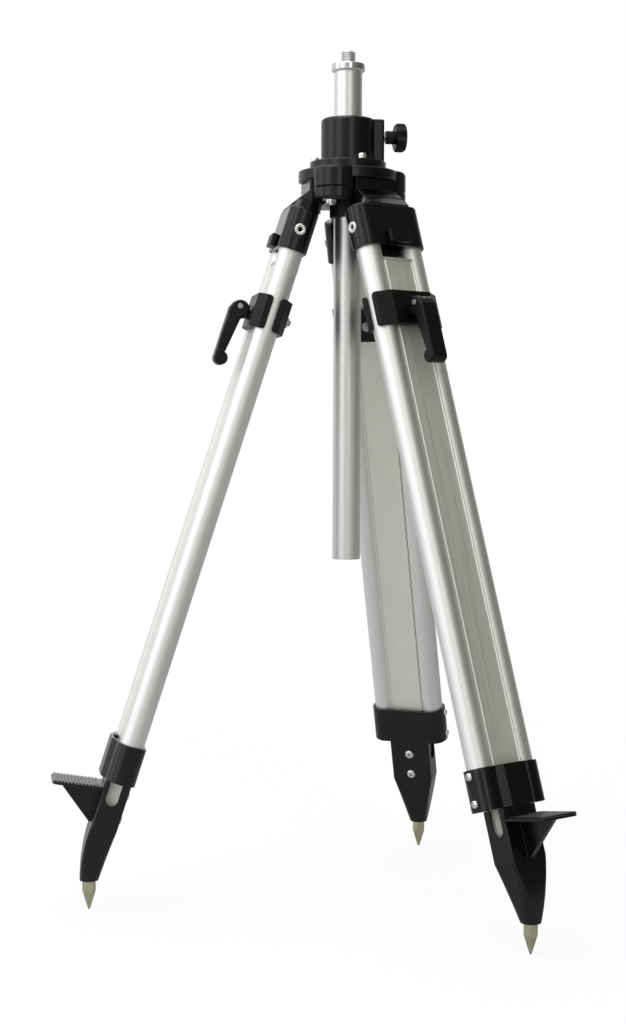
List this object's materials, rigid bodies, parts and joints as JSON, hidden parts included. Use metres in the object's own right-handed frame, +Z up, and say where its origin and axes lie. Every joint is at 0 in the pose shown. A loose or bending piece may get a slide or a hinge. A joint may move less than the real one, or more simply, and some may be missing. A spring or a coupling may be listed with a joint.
{
  "type": "laser level tripod",
  "caption": "Elevating laser level tripod with a round centre column, a threaded instrument stud, twin-tube legs with sliding bars, cam clamps and pointed feet.",
  "frame": {"origin": "centre of the instrument seat, at the foot of the threaded stud on top of the column", "axes": "+Z up along the column and the stud, +X towards the column clamp knob, legs at 60, 180 and 300 degrees about +Z from +X"},
  "size_m": [0.495, 0.5694, 0.9168],
  "materials": {
    "satin_aluminium": "satin anodised",
    "bar_aluminium": "matt anodised",
    "polished_aluminium": "turned and polished",
    "black_casting": "black paint, satin gloss",
    "black_plastic": "moulded, satin gloss",
    "black_bush": "moulded, matt",
    "bright_steel": "bright plated",
    "zinc_steel": "yellow zinc plated",
    "grey_plastic": "moulded nylon"
  },
  "bodies": {
    "head": {"head_upper_shell": "black_casting", "head_lower_shell": "black_casting", "head_studs": "bright_steel", "hinge_pins": "bright_steel", "column_collar": "black_casting", "collar_screws": "bright_steel", "guide_bush": "black_bush"},
    "column": {"column_tube": "satin_aluminium", "instrument_stud": "polished_aluminium"},
    "clamp_pad": {"pressure_pad": "grey_plastic"},
    "knob": {"clamp_knob": "black_plastic", "clamp_screw": "bright_steel"},
    "left_leg": {"left_yoke": "black_casting", "left_leg_tubes": "satin_aluminium", "left_socket_eyelets": "bright_steel", "left_top_buffer": "black_plastic", "left_bottom_bracket": "black_casting", "left_bracket_screws": "bright_steel"},
    "left_lower_leg": {"left_slide_bar": "bar_aluminium", "left_bar_end_cap": "grey_plastic", "left_outer_jaw": "black_plastic", "left_inner_jaw": "black_plastic", "left_clamp_bolt": "bright_steel", "left_lever_pin": "bright_steel", "left_foot": "black_casting", "left_foot_screws": "bright_steel", "left_spike": "zinc_steel"},
    "left_lever": {"left_clamp_lever": "black_plastic"},
    "front_leg": {"front_yoke": "black_casting", "front_leg_tubes": "satin_aluminium", "front_socket_eyelets": "bright_steel", "front_top_buffer": "black_plastic", "front_bottom_bracket": "black_casting", "front_bracket_screws": "bright_steel"},
    "front_lower_leg": {"front_slide_bar": "bar_aluminium", "front_bar_end_cap": "grey_plastic", "front_outer_jaw": "black_plastic", "front_inner_jaw": "black_plastic", "front_clamp_bolt": "bright_steel", "front_lever_pin": "bright_steel", "front_foot": "black_casting", "front_foot_screws": "bright_steel", "front_spike": "zinc_steel"},
    "front_lever": {"front_clamp_lever": "black_plastic"},
    "rear_leg": {"rear_yoke": "black_casting", "rear_leg_tubes": "satin_aluminium", "rear_socket_eyelets": "bright_steel", "rear_top_buffer": "black_plastic", "rear_bottom_bracket": "black_casting", "rear_bracket_screws": "bright_steel"},
    "rear_lower_leg": {"rear_slide_bar": "bar_aluminium", "rear_bar_end_cap": "grey_plastic", "rear_outer_jaw": "black_plastic", "rear_inner_jaw": "black_plastic", "rear_clamp_bolt": "bright_steel", "rear_lever_pin": "bright_steel", "rear_foot": "black_casting", "rear_foot_screws": "bright_steel", "rear_spike": "zinc_steel"},
    "rear_lever": {"rear_clamp_lever": "black_plastic"}
  },
  "joints": [
    {"name": "column_lift", "type": "slide", "parent": "head", "child": "column", "axis": [0, 0, 1], "range_m": [-0.045, 0.3]},
    {"name": "pad_travel", "type": "slide", "parent": "head", "child": "clamp_pad", "axis": [1, 0, 0], "range_m": [0, 0.002]},
    {"name": "knob_turn", "type": "hinge", "parent": "clamp_pad", "child": "knob", "pos_m": [0.041, 0, -0.0767], "axis": [1, 0, 0], "range_deg": [-5, 725]},
    {"name": "left_leg_fold", "type": "hinge", "parent": "head", "child": "left_leg", "pos_m": [-0.036, 0, -0.1368], "axis": [0, 1, 0], "range_deg": [-17.9, 0]},
    {"name": "left_leg_slide", "type": "slide", "parent": "left_leg", "child": "left_lower_leg", "axis": [-0.3074, 0, -0.9516], "range_m": [0, 0.44]},
    {"name": "left_lever_open", "type": "hinge", "parent": "left_lower_leg", "child": "left_lever", "pos_m": [-0.11745, 0, -0.26045], "axis": [0, 1, 0], "range_deg": [0, 95]},
    {"name": "front_leg_fold", "type": "hinge", "parent": "head", "child": "front_leg", "pos_m": [0.018, -0.03118, -0.1368], "axis": [-0.866, -0.5, 0], "range_deg": [-17.9, 0]},
    {"name": "front_leg_slide", "type": "slide", "parent": "front_leg", "child": "front_lower_leg", "axis": [0.1537, -0.2662, -0.9516], "range_m": [0, 0.44]},
    {"name": "front_lever_open", "type": "hinge", "parent": "front_lower_leg", "child": "front_lever", "pos_m": [0.05872, -0.10171, -0.26045], "axis": [-0.866, -0.5, 0], "range_deg": [0, 95]},
    {"name": "rear_leg_fold", "type": "hinge", "parent": "head", "child": "rear_leg", "pos_m": [0.018, 0.03118, -0.1368], "axis": [0.866, -0.5, 0], "range_deg": [-17.9, 0]},
    {"name": "rear_leg_slide", "type": "slide", "parent": "rear_leg", "child": "rear_lower_leg", "axis": [0.1537, 0.2662, -0.9516], "range_m": [0, 0.44]},
    {"name": "rear_lever_open", "type": "hinge", "parent": "rear_lower_leg", "child": "rear_lever", "pos_m": [0.05872, 0.10171, -0.26045], "axis": [0.866, -0.5, 0], "range_deg": [0, 95]}
  ],
  "couplings": [
    {"joint": "knob_turn", "follows": "pad_travel", "rad_per_m": 6283.2}
  ]
}
